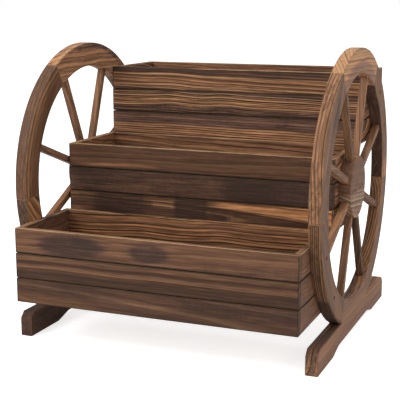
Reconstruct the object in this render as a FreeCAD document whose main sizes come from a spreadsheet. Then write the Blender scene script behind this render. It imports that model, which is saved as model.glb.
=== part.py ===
# Flower cart stand: three open plank boxes, stepped up and back, hung between two
# wagon wheels that stand on feet. Millimetres, +X to the right, +Y to the back, +Z up.
# The origin is on the ground, under the middle of the whole stand.
import FreeCAD, Part

import math
import os

import Sketcher

Vector = FreeCAD.Vector
HALF_TURN = 180
QUARTER_TURN = 90

doc = FreeCAD.newDocument("flower_cart_stand")
sizes = doc.addObject("Spreadsheet::Sheet", "Sizes")

# name, value, what it is
DRIVING = [
    ("box_length", 579, "outside length of every box, along X"),
    ("box_depth", 205, "outside depth of every box, along Y"),
    ("plank_height", 49, "height of one wall plank"),
    ("plank_gap", 1.5, "gap between two planks of a wall"),
    ("plank_rows", 3, "planks in a wall"),
    ("plank_thickness", 12, "thickness of a wall plank"),
    ("plank_ease", 1.2, "chamfer of the long edges of planks, battens and slats"),
    ("middle_rise", 138, "step up from the lower box to the middle box"),
    ("upper_rise", 149, "step up from the middle box to the upper box"),
    ("lower_gap", 17.5, "lower box to the middle box, along Y"),
    ("upper_gap", 5, "middle box to the upper box, along Y"),
    ("axle_rise", 4.5, "centre of the middle box up to the wheel centre"),
    ("batten_width", 18, "side of the square corner battens and end cleats"),
    ("batten_drop", 1.5, "upper edge of the second row down to the batten tops"),
    ("slat_thickness", 10, "thickness of the floor slats"),
    ("slat_count", 3, "floor slats in a box"),
    ("slat_gap", 4, "drainage gap between floor slats"),
    ("slat_clearance", 0.5, "floor slats to the walls around them"),
    ("rim_radius", 278, "outside radius of a wheel"),
    ("rim_width", 50, "radial width of the rim"),
    ("rim_ease", 1.6, "chamfer of the edges of rim, hub and feet"),
    ("wheel_thickness", 25, "thickness of rim, hub and feet"),
    ("felloe_count", 5, "curved boards in a rim, beside the foot's saddle"),
    ("saddle_angle", 22.5, "half of the rim's circle that the foot fills, degrees"),
    ("spoke_count", 8, "spokes in a wheel"),
    ("spoke_turn", 20, "first spoke from straight up, towards the back, degrees"),
    ("spoke_width", 14, "side of the square spokes"),
    ("spoke_ease", 1.6, "chamfer of the spokes' long edges"),
    ("tenon_side", 8, "side of the square tenon at both ends of a spoke"),
    ("tenon_length", 11, "length of those tenons"),
    ("joint_clearance", 0.15, "play around tenons, keys and spoke shoulders"),
    ("hub_radius", 63, "radius of the hub disc"),
    ("key_width", 24, "radial width of the flat keys across the rim joints"),
    ("key_thickness", 8, "thickness of those keys"),
    ("key_length", 30, "length of those keys, half of it in each board"),
    ("foot_length", 550, "length of a foot board"),
    ("foot_height", 49.7, "height of a foot board's toes"),
    ("foot_pad", 110, "length of the flat pad at each end of a foot"),
    ("foot_ramp", 42, "length of the slope from a pad up to the arch"),
    ("foot_arch", 11, "height of the arch under a foot"),
    ("foot_corner", 11, "bevel at the top corners of a foot"),
    ("sink_inset", 27, "rim's outside to the sinks that the rim's screws sit in"),
    ("sink_radius", 4.2, "radius of a sink"),
    ("sink_depth", 6, "depth of a sink"),
    ("sink_1", 5.5, "upper box, lower edge of the top plank up to the first sink"),
    ("sink_2", 20.5, "upper box, upper edge of the bottom plank down to the second one"),
    ("sink_3", 16.5, "lower box, upper edge of the bottom plank down to the third one"),
    ("sink_4", 24.5, "lower box, lower edge of the top plank up to the fourth one"),
]

# name, formula, what it is
DERIVED = [
    ("plank_pitch", "=plank_height + plank_gap", "one plank row to the next"),
    ("box_height", "=plank_rows * plank_pitch - plank_gap", "height of a box"),
    ("top_plank", "=(plank_rows - 1) * plank_pitch", "underside of a box up to its top plank"),
    ("middle_setback", "=box_depth + lower_gap", "front of the lower box to the middle box"),
    ("upper_setback", "=middle_setback + box_depth + upper_gap", "front to the upper box"),
    ("front_y", "=-(upper_setback + box_depth) / 2", "front of the lower box"),
    ("axle_y", "=front_y + middle_setback + box_depth / 2", "wheel centre along Y"),
    ("axle_height", "=foot_height + rim_radius * cos(saddle_angle)", "wheel centre, height"),
    ("middle_height", "=axle_height - axle_rise - box_height / 2", "underside, middle box"),
    ("lower_height", "=middle_height - middle_rise", "underside of the lower box"),
    ("upper_height", "=middle_height + upper_rise", "underside of the upper box"),
    ("half_length", "=box_length / 2", "middle of the stand to a box end"),
    ("inner_length", "=box_length - 2 * plank_thickness", "inside length of a box"),
    ("inner_depth", "=box_depth - 2 * plank_thickness", "inside depth of a box"),
    ("batten_length", "=top_plank - plank_gap - batten_drop - slat_thickness",
     "length of a corner batten"),
    ("cleat_length", "=inner_depth - 2 * batten_width", "length of an end cleat"),
    ("slat_length", "=inner_length - 2 * slat_clearance", "length of a floor slat"),
    ("slat_width",
     "=(inner_depth - 2 * slat_clearance - (slat_count - 1) * slat_gap) / slat_count",
     "width of a floor slat"),
    ("rim_inner_radius", "=rim_radius - rim_width", "inside radius of the rim"),
    ("rim_middle_radius", "=rim_radius - rim_width / 2", "middle of the rim's width"),
    ("felloe_angle", "=(360 - 2 * saddle_angle) / felloe_count", "angle that one felloe spans"),
    ("felloe_half", "=felloe_angle / 2", "half of that angle"),
    ("spoke_step", "=360 / spoke_count", "one spoke to the next, degrees"),
    ("spoke_inner", "=hub_radius + joint_clearance", "wheel centre to a spoke's lower shoulder"),
    ("spoke_outer", "=rim_inner_radius - joint_clearance", "wheel centre to its upper shoulder"),
    ("spoke_half", "=spoke_width / 2", "half of the spoke's side"),
    ("tenon_half", "=tenon_side / 2", "half of a tenon's side"),
    ("mortise_half", "=tenon_half + joint_clearance", "half of the side of a tenon's mortise"),
    ("mortise_depth", "=tenon_length + joint_clearance", "depth of that mortise"),
    ("slot_width", "=key_width + 2 * joint_clearance", "radial width of a key's slot"),
    ("slot_thickness", "=key_thickness + 2 * joint_clearance", "thickness of that slot"),
    ("slot_depth", "=key_length / 2 + joint_clearance", "depth of that slot in one board"),
    ("wheel_middle", "=wheel_thickness / 2", "middle of the wheel's thickness"),
    ("right_wheel_x", "=half_length", "inside face of the right wheel"),
    ("left_wheel_x", "=-half_length - wheel_thickness", "outside face of the left wheel"),
    ("foot_half", "=foot_length / 2", "half of a foot's length"),
    ("pad_end", "=foot_half - foot_pad", "inner end of a pad from the foot's middle"),
    ("arch_end", "=pad_end - foot_ramp", "end of the flat arch from the foot's middle"),
    ("toe_shoulder", "=foot_half - foot_corner", "top bevel, from the foot's middle"),
    ("toe_side", "=foot_height - foot_corner", "top bevel, from the ground"),
    ("horn_out_y", "=rim_radius * sin(saddle_angle)", "where the rim meets the toe"),
    ("horn_in_y", "=rim_inner_radius * sin(saddle_angle)", "saddle's tip from the foot's middle"),
    ("horn_in_z", "=axle_height - rim_inner_radius * cos(saddle_angle)", "saddle's tip, height"),
    ("felloe_out_y", "=rim_radius * sin(felloe_half)", "felloe's outer corner"),
    ("felloe_out_z", "=rim_radius * cos(felloe_half)", "felloe's outer corner"),
    ("felloe_in_y", "=rim_inner_radius * sin(felloe_half)", "felloe's inner corner"),
    ("felloe_in_z", "=rim_inner_radius * cos(felloe_half)", "felloe's inner corner"),
    ("shoulder_in_z", "=sqrt(spoke_inner ^ 2 - spoke_half ^ 2)", "spoke's lower corner"),
    ("shoulder_out_z", "=sqrt(spoke_outer ^ 2 - spoke_half ^ 2)", "spoke's upper corner"),
    ("sink_circle", "=rim_radius - sink_inset", "wheel centre to a sink"),
    ("sink_1_z", "=upper_height + top_plank + sink_1 - axle_height", "from the axle"),
    ("sink_2_z", "=upper_height + plank_height - sink_2 - axle_height", "from the axle"),
    ("sink_3_z", "=lower_height + plank_height - sink_3 - axle_height", "from the axle"),
    ("sink_4_z", "=lower_height + top_plank + sink_4 - axle_height", "from the axle"),
    ("sink_1_y", "=sqrt(sink_circle ^ 2 - sink_1_z ^ 2)", "from the axle"),
    ("sink_2_y", "=sqrt(sink_circle ^ 2 - sink_2_z ^ 2)", "from the axle"),
    ("sink_3_y", "=-sqrt(sink_circle ^ 2 - sink_3_z ^ 2)", "from the axle"),
    ("sink_4_y", "=-sqrt(sink_circle ^ 2 - sink_4_z ^ 2)", "from the axle"),
]


def fill_sheet():
    for row, (name, value, note) in enumerate(DRIVING + DERIVED, 1):
        sizes.set("A%d" % row, name)
        sizes.set("B%d" % row, str(value))
        sizes.set("C%d" % row, note)
        sizes.setAlias("B%d" % row, name)
    doc.recompute()


def value(name):
    return float(sizes.get(name))


def placed(x, y, z, turn="0"):
    """A placement formula: a point, and a turn about X from +Z towards +Y."""
    point = "create(<<vector>>; %s; %s; %s)" % (x, y, z)
    spin = "create(<<rotation>>; create(<<vector>>; 1; 0; 0); -(%s))" % turn
    return "create(<<placement>>; %s; %s)" % (point, spin)


# ---------------------------------------------------------------- building blocks

def new_body(name):
    body = doc.addObject("PartDesign::Body", name)
    body.Label = name
    return body


def origin_feature(body, role):
    return [item for item in body.Origin.OriginFeatures if item.Role == role][0]


def side_sketch(body):
    """A sketch seen from the side: its first axis is +Y and its second is +Z."""
    sketch = body.newObject("Sketcher::SketchObject", body.Name + "_profile")
    sketch.AttachmentSupport = [(origin_feature(body, "YZ_Plane"), "")]
    sketch.MapMode = "FlatFace"
    return sketch


def draw_profile(sketch, corners, arcs=None):
    """Close a profile through named corners. A corner is a pair of (sign, size name).

    arcs maps the number of a corner to the height name of the arc that leaves it: the
    arc's centre is at that height on the second axis, or at the origin for None.
    """
    arcs = arcs or {}
    points = []
    for across, upward in corners:
        points.append(Vector(across[0] * value(across[1]) if across[0] else 0,
                             upward[0] * value(upward[1]) if upward[0] else 0, 0))
    count = len(points)
    for number, start in enumerate(points):
        end = points[(number + 1) % count]
        if number in arcs:
            centre = Vector(0, value(arcs[number]) if arcs[number] else 0, 0)
            first, last = sorted(math.atan2(tip.y - centre.y, tip.x) for tip in (start, end))
            circle = Part.Circle(centre, Vector(0, 0, 1), (start - centre).Length)
            sketch.addGeometry(Part.ArcOfCircle(circle, first, last))
        else:
            sketch.addGeometry(Part.LineSegment(start, end))
    for number in range(count):
        following = (number + 1) % count
        sketch.addConstraint(Sketcher.Constraint(
            "Coincident", number, end_of(sketch, number, points[following]),
            following, end_of(sketch, following, points[following])))
    for number, (across, upward) in enumerate(corners):
        spot = end_of(sketch, number, points[number])
        for kind, (sign, name) in (("DistanceX", across), ("DistanceY", upward)):
            size = sign * value(name) if sign else 0
            index = sketch.addConstraint(
                Sketcher.Constraint(kind, -1, 1, number, spot, size))
            if sign:
                formula = "Sizes.%s" % name if sign > 0 else "-Sizes.%s" % name
                sketch.setExpression("Constraints[%d]" % index, formula)
    for number, height_name in arcs.items():
        height = value(height_name) if height_name else 0
        index = sketch.addConstraint(
            Sketcher.Constraint("DistanceY", -1, 1, number, 3, height))
        if height_name:
            sketch.setExpression("Constraints[%d]" % index, "Sizes.%s" % height_name)
    sketch.recompute()


def end_of(sketch, number, point):
    """Which end of a sketch line or arc lies at a point: 1 for its start, 2 for its end."""
    curve = sketch.Geometry[number]
    at_start = (curve.StartPoint - point).Length < (curve.EndPoint - point).Length
    return 1 if at_start else 2


def extrude(body, sketch, length, both_sides=False):
    pad = body.newObject("PartDesign::Pad", body.Name + "_pad")
    pad.Profile = sketch
    if both_sides:
        pad.SideType = "Symmetric"
    pad.setExpression("Length", "Sizes.%s" % length)
    pad.recompute()
    return pad


def edges_where(feature, keep):
    return ["Edge%d" % (number + 1)
            for number, edge in enumerate(feature.Shape.Edges) if keep(edge)]


def runs_along(axis):
    """Keeps the straight edges that lie along one axis."""
    def keep(edge):
        straight = edge.Curve.TypeId == "Part::GeomLine"
        return straight and abs(edge.tangentAt(edge.FirstParameter).dot(axis)) > 0.999
    return keep


def is_arc(edge):
    return edge.Curve.TypeId == "Part::GeomCircle"


def bevel_edges(body, feature, keep, size):
    chamfer = body.newObject("PartDesign::Chamfer", body.Name + "_bevel")
    chamfer.Base = (feature, edges_where(feature, keep))
    chamfer.setExpression("Size", "Sizes.%s" % size)
    chamfer.recompute()
    return chamfer


def primitive(body, kind, name, lengths, placement):
    """A block or cylinder that is added to a body or cut from it, placed by a formula."""
    feature = body.newObject("PartDesign::" + kind, name)
    feature.AttachmentSupport = [(origin_feature(body, "XY_Plane"), "")]
    feature.MapMode = "FlatFace"
    for side, formula in lengths.items():
        feature.setExpression(side, formula)
    feature.setExpression("AttachmentOffset", placement)
    feature.recompute()
    return feature


def peg(body, kind, name, radius, length, placement):
    """A round peg or, as a SubtractiveCylinder, a round hole."""
    return primitive(body, kind, name, {"Radius": radius, "Height": length}, placement)


def square_peg(body, kind, name, half, length, placement):
    """A square tenon or, as a SubtractiveBox, a square mortise. half is half of its side."""
    side = "2 * " + half
    return primitive(body, kind, name, {"Length": side, "Width": side, "Height": length},
                     placement)


def along_x(x, y, z, way=1):
    """A placement formula that turns a peg to run along +X, or along -X with way -1."""
    point = "create(<<vector>>; %s; %s; %s)" % (x, y, z)
    spin = "create(<<rotation>>; create(<<vector>>; 0; 1; 0); %d)" % (QUARTER_TURN * way)
    return "create(<<placement>>; %s; %s)" % (point, spin)


def cut_mortise(body, number, distance, angle, centre_z="0"):
    """A square mortise for a spoke's tenon, on a ray from the wheel centre, which is at
    centre_z in the frame of the body. It starts at a distance and points outwards."""
    half = "Sizes.mortise_half"
    across = "%s * sin(%s) - %s * cos(%s)" % (distance, angle, half, angle)
    upward = "%s + %s * cos(%s) + %s * sin(%s)" % (centre_z, distance, angle, half, angle)
    return square_peg(body, "SubtractiveBox", "%s_mortise_%d" % (body.Name, number),
                      half, "Sizes.rim_width",
                      placed("Sizes.wheel_middle - " + half, across, upward, angle))


def copies(name, pieces):
    """One node that holds several separate pieces."""
    group = doc.addObject("Part::Compound", name)
    group.Label = name
    group.Links = pieces
    return group


def copy_of(piece, name, placement):
    link = doc.addObject("App::Link", name)
    link.LinkedObject = piece
    link.setExpression("Placement", placement)
    return link


# ---------------------------------------------------------------- boxes

TIERS = [("lower", "Sizes.front_y"),
         ("middle", "Sizes.front_y + Sizes.middle_setback"),
         ("upper", "Sizes.front_y + Sizes.upper_setback")]


def board(name, length, depth, height, grain):
    """A plain board with eased long edges, its corner at the origin of its own frame."""
    body = new_body(name)
    sketch = side_sketch(body)
    corners = [((0, None), (0, None)), ((1, depth), (0, None)),
               ((1, depth), (1, height)), ((0, None), (1, height))]
    draw_profile(sketch, corners)
    pad = extrude(body, sketch, length)
    bevel_edges(body, pad, runs_along(grain), "plank_ease")
    return body


def plank_floor(tier, row):
    """Height formula of a plank's lower edge. Row 1 is the top plank."""
    return "Sizes.%s_height + (Sizes.plank_rows - %d) * Sizes.plank_pitch" % (tier, row)


def make_box(tier, tier_y):
    rows = range(1, int(value("plank_rows")) + 1)
    nodes = []
    for row in rows:
        low = plank_floor(tier, row)
        front = board("%s_front_plank_%d" % (tier, row),
                      "box_length", "plank_thickness", "plank_height", Vector(1, 0, 0))
        front.setExpression("Placement", placed("-Sizes.half_length", tier_y, low))
        back = board("%s_back_plank_%d" % (tier, row),
                     "box_length", "plank_thickness", "plank_height", Vector(1, 0, 0))
        back.setExpression("Placement", placed(
            "-Sizes.half_length", tier_y + " + Sizes.box_depth - Sizes.plank_thickness", low))
        nodes += [front, back]
        for word, side in (("left", -1), ("right", 1)):
            plank = board("%s_%s_plank_%d" % (tier, word, row),
                          "plank_thickness", "inner_depth", "plank_height", Vector(0, 1, 0))
            x = "-Sizes.half_length" if side < 0 else "Sizes.half_length - Sizes.plank_thickness"
            plank.setExpression("Placement", placed(
                x, tier_y + " + Sizes.plank_thickness", low))
            nodes.append(plank)
    nodes.append(floor_slats(tier, tier_y))
    nodes.append(inner_frame(tier, tier_y))
    return nodes


def floor_slats(tier, tier_y):
    """Slats along the box, flush with the underside of its walls."""
    slats = []
    for number in range(int(value("slat_count"))):
        slat = board("%s_slat_%d" % (tier, number + 1),
                     "slat_length", "slat_width", "slat_thickness", Vector(1, 0, 0))
        slat.setExpression("Placement", placed(
            "-Sizes.slat_length / 2",
            "%s + Sizes.plank_thickness + Sizes.slat_clearance"
            " + %d * (Sizes.slat_width + Sizes.slat_gap)" % (tier_y, number),
            "Sizes.%s_height" % tier))
        slats.append(slat)
    return copies(tier + "_floor_slats", slats)


def inner_frame(tier, tier_y):
    """Four corner battens, and two end cleats between them, on top of the floor slats.

    The battens stay below the top planks, where the wall is seen from above.
    """
    floor = "Sizes.%s_height + Sizes.slat_thickness" % tier
    inside = "(Sizes.half_length - Sizes.plank_thickness)"
    near = tier_y + " + Sizes.plank_thickness"
    far = tier_y + " + Sizes.box_depth - Sizes.plank_thickness - Sizes.batten_width"
    pieces = []
    for word, x in (("left", "-" + inside), ("right", inside + " - Sizes.batten_width")):
        for end, y in (("front", near), ("back", far)):
            batten = board("%s_%s_%s_batten" % (tier, word, end),
                           "batten_width", "batten_width", "batten_length", Vector(0, 0, 1))
            batten.setExpression("Placement", placed(x, y, floor))
            pieces.append(batten)
        cleat = board("%s_%s_cleat" % (tier, word),
                      "batten_width", "cleat_length", "batten_width", Vector(0, 1, 0))
        cleat.setExpression("Placement", placed(x, near + " + Sizes.batten_width", floor))
        pieces.append(cleat)
    return copies(tier + "_inner_frame", pieces)


# ---------------------------------------------------------------- wheels

SINKS = (1, 2, 3, 4)
JOINT_ENDS = (("first", -1), ("last", 1))  # a board's two ends along the rim


def felloe_middle(number):
    """Angle formula of a felloe's middle. They follow each other from the foot's back tip."""
    return ("(%d + Sizes.saddle_angle + (%d - 0.5) * Sizes.felloe_angle)"
            % (HALF_TURN, number))


def angle_off(angle, middle):
    """Signed difference of two angles in degrees, within half a turn."""
    return (angle - middle + HALF_TURN) % (2 * HALF_TURN) - HALF_TURN


def spoke_angles():
    """Every spoke: its angle formula and its present angle."""
    return [("(Sizes.spoke_turn + %d * Sizes.spoke_step)" % number,
             value("spoke_turn") + number * value("spoke_step"))
            for number in range(int(value("spoke_count")))]


def rim_mortise_start():
    """Distance formula of the start of a mortise that ends inside the rim's wood."""
    return "(Sizes.rim_inner_radius + Sizes.mortise_depth - Sizes.rim_width)"


def key_slot(body, end, angle, way, centre_z="0"):
    """A slot for half of a key, cut along the rim from a joint that is at an angle.

    way is 1 where the board goes on towards larger angles and -1 where it comes from
    smaller ones. A block turned that way has its corner on the slot's outer or inner edge.
    """
    radius = "(Sizes.rim_middle_radius + %d * Sizes.slot_width / 2)" % way
    across = "%s * sin(%s)" % (radius, angle)
    upward = "%s + %s * cos(%s)" % (centre_z, radius, angle)
    primitive(body, "SubtractiveBox", "%s_key_slot_%s" % (body.Name, end),
              {"Length": "Sizes.slot_thickness", "Width": "Sizes.slot_width",
               "Height": "Sizes.slot_depth"},
              placed("Sizes.wheel_middle - Sizes.slot_thickness / 2", across, upward,
                     "%s + %d" % (angle, QUARTER_TURN * way)))


def make_felloe(wheel, side, number):
    """One curved board of the rim, drawn upright about the wheel centre, then turned."""
    body = new_body("%s_wheel_felloe_%d" % (wheel, number))
    sketch = side_sketch(body)
    corners = [((-1, "felloe_out_y"), (1, "felloe_out_z")),
               ((1, "felloe_out_y"), (1, "felloe_out_z")),
               ((1, "felloe_in_y"), (1, "felloe_in_z")),
               ((-1, "felloe_in_y"), (1, "felloe_in_z"))]
    draw_profile(sketch, corners, {0: None, 2: None})
    pad = extrude(body, sketch, "wheel_thickness")
    bevel_edges(body, pad, is_arc, "rim_ease")

    middle = felloe_middle(number)
    present = HALF_TURN + value("saddle_angle") + (number - 0.5) * value("felloe_angle")
    for formula, angle in spoke_angles():
        if abs(angle_off(angle, present)) < value("felloe_half"):
            cut_mortise(body, round(angle), rim_mortise_start(),
                        "(%s - %s)" % (formula, middle))
    for end, way in JOINT_ENDS:
        key_slot(body, end, "(%d * Sizes.felloe_half)" % way, -way)
    for sink in SINKS:
        angle = math.degrees(math.atan2(value("sink_%d_y" % sink), value("sink_%d_z" % sink)))
        if abs(angle_off(angle, present)) < value("felloe_half"):
            cut_sink(body, sink, middle, side)

    body.setExpression("Placement", placed(
        "Sizes.%s_wheel_x" % wheel, "Sizes.axle_y", "Sizes.axle_height", middle))
    return body


def cut_sink(body, sink, middle, side):
    """A blind round hole in a wheel's outside face, for a screw into the box behind it.

    The felloe is drawn upright, so the hole's place is turned back by the angle of the
    felloe's middle.
    """
    y = "Sizes.sink_%d_y" % sink
    z = "Sizes.sink_%d_z" % sink
    across = "%s * cos(%s) - %s * sin(%s)" % (y, middle, z, middle)
    upward = "%s * sin(%s) + %s * cos(%s)" % (y, middle, z, middle)
    outside = "Sizes.wheel_thickness" if side > 0 else "0"
    peg(body, "SubtractiveCylinder", "%s_sink_%d" % (body.Name, sink),
        "Sizes.sink_radius", "Sizes.sink_depth", along_x(outside, across, upward, -side))


def make_spokes(wheel):
    """Square spokes with curved shoulders and a thinner tenon at each end."""
    body = new_body(wheel + "_wheel_spokes")
    sketch = side_sketch(body)
    corners = [((-1, "spoke_half"), (1, "shoulder_out_z")),
               ((1, "spoke_half"), (1, "shoulder_out_z")),
               ((1, "spoke_half"), (1, "shoulder_in_z")),
               ((-1, "spoke_half"), (1, "shoulder_in_z"))]
    draw_profile(sketch, corners, {0: None, 2: None})
    pad = extrude(body, sketch, "spoke_width", both_sides=True)
    bevel_edges(body, pad, runs_along(Vector(0, 0, 1)), "spoke_ease")
    corner = "-Sizes.tenon_half"
    for end, low in (("rim", "Sizes.rim_inner_radius - Sizes.spoke_half"),
                     ("hub", "Sizes.hub_radius - Sizes.tenon_length")):
        square_peg(body, "AdditiveBox", "%s_%s_tenon" % (wheel, end), "Sizes.tenon_half",
                   "Sizes.tenon_length + Sizes.spoke_half", placed(corner, corner, low))
    ring = body.newObject("PartDesign::PolarPattern", wheel + "_spoke_ring")
    ring.Axis = (origin_feature(body, "X_Axis"), [""])
    ring.Angle = 360
    ring.TransformMode = "Whole shape"
    ring.setExpression("Occurrences", "Sizes.spoke_count")
    body.Tip = ring
    body.setExpression("Placement", placed(
        "Sizes.%s_wheel_x + Sizes.wheel_middle" % wheel,
        "Sizes.axle_y", "Sizes.axle_height", "Sizes.spoke_turn"))
    return body


def make_hub(wheel):
    """A round disc with a mortise for every spoke."""
    body = new_body(wheel + "_wheel_hub")
    disc = peg(body, "AdditiveCylinder", wheel + "_hub_disc", "Sizes.hub_radius",
               "Sizes.wheel_thickness", along_x("0", "0", "0"))
    bevel_edges(body, disc, is_arc, "rim_ease")
    for formula, angle in spoke_angles():
        cut_mortise(body, round(angle), "(Sizes.hub_radius - Sizes.mortise_depth)", formula)
    body.setExpression("Placement", placed(
        "Sizes.%s_wheel_x" % wheel, "Sizes.axle_y", "Sizes.axle_height"))
    return body


def make_foot(wheel):
    """The board that a wheel stands on: two pads, an arch between them, bevelled toes and
    a raised saddle whose hollow carries on the rim's inner circle."""
    body = new_body(wheel + "_foot")
    sketch = side_sketch(body)
    corners = [((-1, "foot_half"), (0, None)),
               ((-1, "pad_end"), (0, None)),
               ((-1, "arch_end"), (1, "foot_arch")),
               ((1, "arch_end"), (1, "foot_arch")),
               ((1, "pad_end"), (0, None)),
               ((1, "foot_half"), (0, None)),
               ((1, "foot_half"), (1, "toe_side")),
               ((1, "toe_shoulder"), (1, "foot_height")),
               ((1, "horn_out_y"), (1, "foot_height")),
               ((1, "horn_in_y"), (1, "horn_in_z")),
               ((-1, "horn_in_y"), (1, "horn_in_z")),
               ((-1, "horn_out_y"), (1, "foot_height")),
               ((-1, "toe_shoulder"), (1, "foot_height")),
               ((-1, "foot_half"), (1, "toe_side"))]
    draw_profile(sketch, corners, {9: "axle_height"})
    pad = extrude(body, sketch, "wheel_thickness")
    bevel_edges(body, pad, is_arc, "rim_ease")
    for formula, angle in spoke_angles():
        if abs(angle_off(angle, HALF_TURN)) < value("saddle_angle"):
            cut_mortise(body, round(angle), rim_mortise_start(), formula,
                        "Sizes.axle_height")
    for end, way in JOINT_ENDS:
        key_slot(body, end, "(%d + %d * Sizes.saddle_angle)" % (HALF_TURN, way), -way,
                 "Sizes.axle_height")
    body.setExpression("Placement", placed("Sizes.%s_wheel_x" % wheel, "Sizes.axle_y", "0"))
    return body


def key_master():
    """A flat key, with its length along Z and its middle at the origin of its own frame."""
    body = new_body("key_shape")
    primitive(body, "AdditiveBox", "key_block",
              {"Length": "Sizes.key_thickness", "Width": "Sizes.key_width",
               "Height": "Sizes.key_length"},
              placed("-Sizes.key_thickness / 2", "-Sizes.key_width / 2",
                     "-Sizes.key_length / 2"))
    return body


def make_keys(shape):
    """One key across every joint of both rims."""
    keys = []
    for wheel in ("left", "right"):
        for number in range(int(value("felloe_count")) + 1):
            angle = "(%d + Sizes.saddle_angle + %d * Sizes.felloe_angle)" % (HALF_TURN, number)
            keys.append(copy_of(shape, "%s_rim_key_%d" % (wheel, number + 1), placed(
                "Sizes.%s_wheel_x + Sizes.wheel_middle" % wheel,
                "Sizes.axle_y + Sizes.rim_middle_radius * sin(%s)" % angle,
                "Sizes.axle_height + Sizes.rim_middle_radius * cos(%s)" % angle,
                "%s + %d" % (angle, QUARTER_TURN))))
    return copies("rim_keys", keys)


def make_wheel(wheel, side):
    nodes = [make_felloe(wheel, side, number)
             for number in range(1, int(value("felloe_count")) + 1)]
    nodes += [make_spokes(wheel), make_hub(wheel), make_foot(wheel)]
    return nodes


# ---------------------------------------------------------------- the whole stand

def check(nodes):
    for item in doc.Objects:
        faults = [state for state in item.State if state in ("Invalid", "Error")]
        if faults:
            raise RuntimeError("%s: %s" % (item.Label, faults))
    for node in nodes:
        if node.Shape.isNull() or not node.Shape.isValid() or not node.Shape.Solids:
            raise RuntimeError("%s has no valid solid" % node.Label)


def write(nodes):
    os.makedirs("parts", exist_ok=True)
    for node in nodes:
        node.Shape.exportStep(os.path.join("parts", node.Label + ".step"))


fill_sheet()
stand = []
for tier_name, tier_front in TIERS:
    stand += make_box(tier_name, tier_front)
stand += make_wheel("left", -1)
stand += make_wheel("right", 1)
stand.append(make_keys(key_master()))
doc.recompute()
check(stand)
write(stand)
print("%d nodes, %d solids" % (len(stand), sum(len(node.Shape.Solids) for node in stand)))
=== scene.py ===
import math
import random

import bmesh
import bpy
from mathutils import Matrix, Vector


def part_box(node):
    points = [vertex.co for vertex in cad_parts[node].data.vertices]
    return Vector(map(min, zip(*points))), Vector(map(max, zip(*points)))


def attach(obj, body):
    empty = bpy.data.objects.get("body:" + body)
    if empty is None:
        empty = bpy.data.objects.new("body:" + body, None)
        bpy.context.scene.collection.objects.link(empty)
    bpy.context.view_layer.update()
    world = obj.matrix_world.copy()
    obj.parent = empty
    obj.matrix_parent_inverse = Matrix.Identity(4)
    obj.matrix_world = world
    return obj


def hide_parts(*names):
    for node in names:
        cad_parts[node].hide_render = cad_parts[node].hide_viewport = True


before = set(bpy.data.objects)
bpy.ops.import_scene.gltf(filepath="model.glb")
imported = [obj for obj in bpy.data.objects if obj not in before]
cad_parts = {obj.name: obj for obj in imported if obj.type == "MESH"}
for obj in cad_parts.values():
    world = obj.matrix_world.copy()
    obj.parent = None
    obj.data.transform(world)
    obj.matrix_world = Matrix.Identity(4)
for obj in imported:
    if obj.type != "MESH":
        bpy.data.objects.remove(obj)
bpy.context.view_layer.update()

print("frame loaded: %d nodes" % len(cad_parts))


class Amount:
    # a number or a vector out of a node. It can be counted with like a plain number
    def __init__(self, socket):
        self.socket = socket

    def __add__(self, other):
        return addMath("ADD", self, other)

    def __sub__(self, other):
        return addMath("SUBTRACT", self, other)

    def __rsub__(self, other):
        return addMath("SUBTRACT", other, self)

    def __mul__(self, other):
        return addMath("MULTIPLY", self, other)

    def __truediv__(self, other):
        return addMath("DIVIDE", self, other)

    def held(self):
        # the same, kept within 0..1
        self.socket.node.use_clamp = True
        return self


def treeOf(*values):
    # the node tree that the amounts among some values are in
    return next(value.socket.id_data for value in values if isinstance(value, Amount))


def feed(value, socket):
    # an amount is linked, anything else is typed in
    if isinstance(value, Amount):
        socket.id_data.links.new(value.socket, socket)
    else:
        socket.default_value = value


def addNode(tree, kind, *values, **settings):
    # a node with its settings made and its first inputs fed
    node = tree.nodes.new("ShaderNode" + kind)
    for name, setting in settings.items():
        setattr(node, name, setting)
    for value, socket in zip(values, node.inputs):
        feed(value, socket)
    return node


def addSource(tree, kind, output, **settings):
    return Amount(addNode(tree, kind, **settings).outputs[output])


def addMath(operation, *values, kind="Math"):
    return Amount(addNode(treeOf(*values), kind, *values, operation=operation).outputs[0])


def addRange(value, low, high, newLow=0.0, newHigh=1.0, soft=True):
    node = addNode(treeOf(value), "MapRange", value, low, high, newLow, newHigh,
                   interpolation_type="SMOOTHSTEP" if soft else "LINEAR")
    return Amount(node.outputs[0])


def addMix(factor, first, second, blend="MIX"):
    node = addNode(treeOf(factor, first, second), "Mix", data_type="RGBA", blend_type=blend)
    for value, name in ((factor, "Factor"), (first, "A"), (second, "B")):
        feed(value, node.inputs[name])
    return Amount(node.outputs["Result"])


def addNoise(place, scale, detail=2.0, roughness=0.5):
    # scale: along, across and deep, which draws the noise out along the grain, or one number
    # for noise along a line
    line = isinstance(scale, float)
    node = addNode(treeOf(place), "TexNoise", noise_dimensions="1D" if line else "3D")
    stretched = place * scale if line else addMath("MULTIPLY", place, scale, kind="VectorMath")
    for value, name in ((stretched, "W" if line else "Vector"), (1.0, "Scale"),
                        (detail, "Detail"), (roughness, "Roughness")):
        feed(value, node.inputs[name])
    return Amount(node.outputs["Fac"])


def splitVector(vector):
    return [Amount(socket) for socket in addNode(treeOf(vector), "SeparateXYZ", vector).outputs]


def newGroup(name, vectors, numbers, results):
    group = bpy.data.node_groups.new(name, "ShaderNodeTree")
    for labels, way, kind in ((vectors, "INPUT", "Vector"), (numbers, "INPUT", "Float"),
                              (results, "OUTPUT", "Float")):
        for label in labels:
            group.interface.new_socket(label, in_out=way, socket_type="NodeSocket" + kind)
    given = group.nodes.new("NodeGroupInput").outputs
    return (group, {label: Amount(given[label]) for label in (*vectors, *numbers)},
            group.nodes.new("NodeGroupOutput").inputs)


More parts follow.
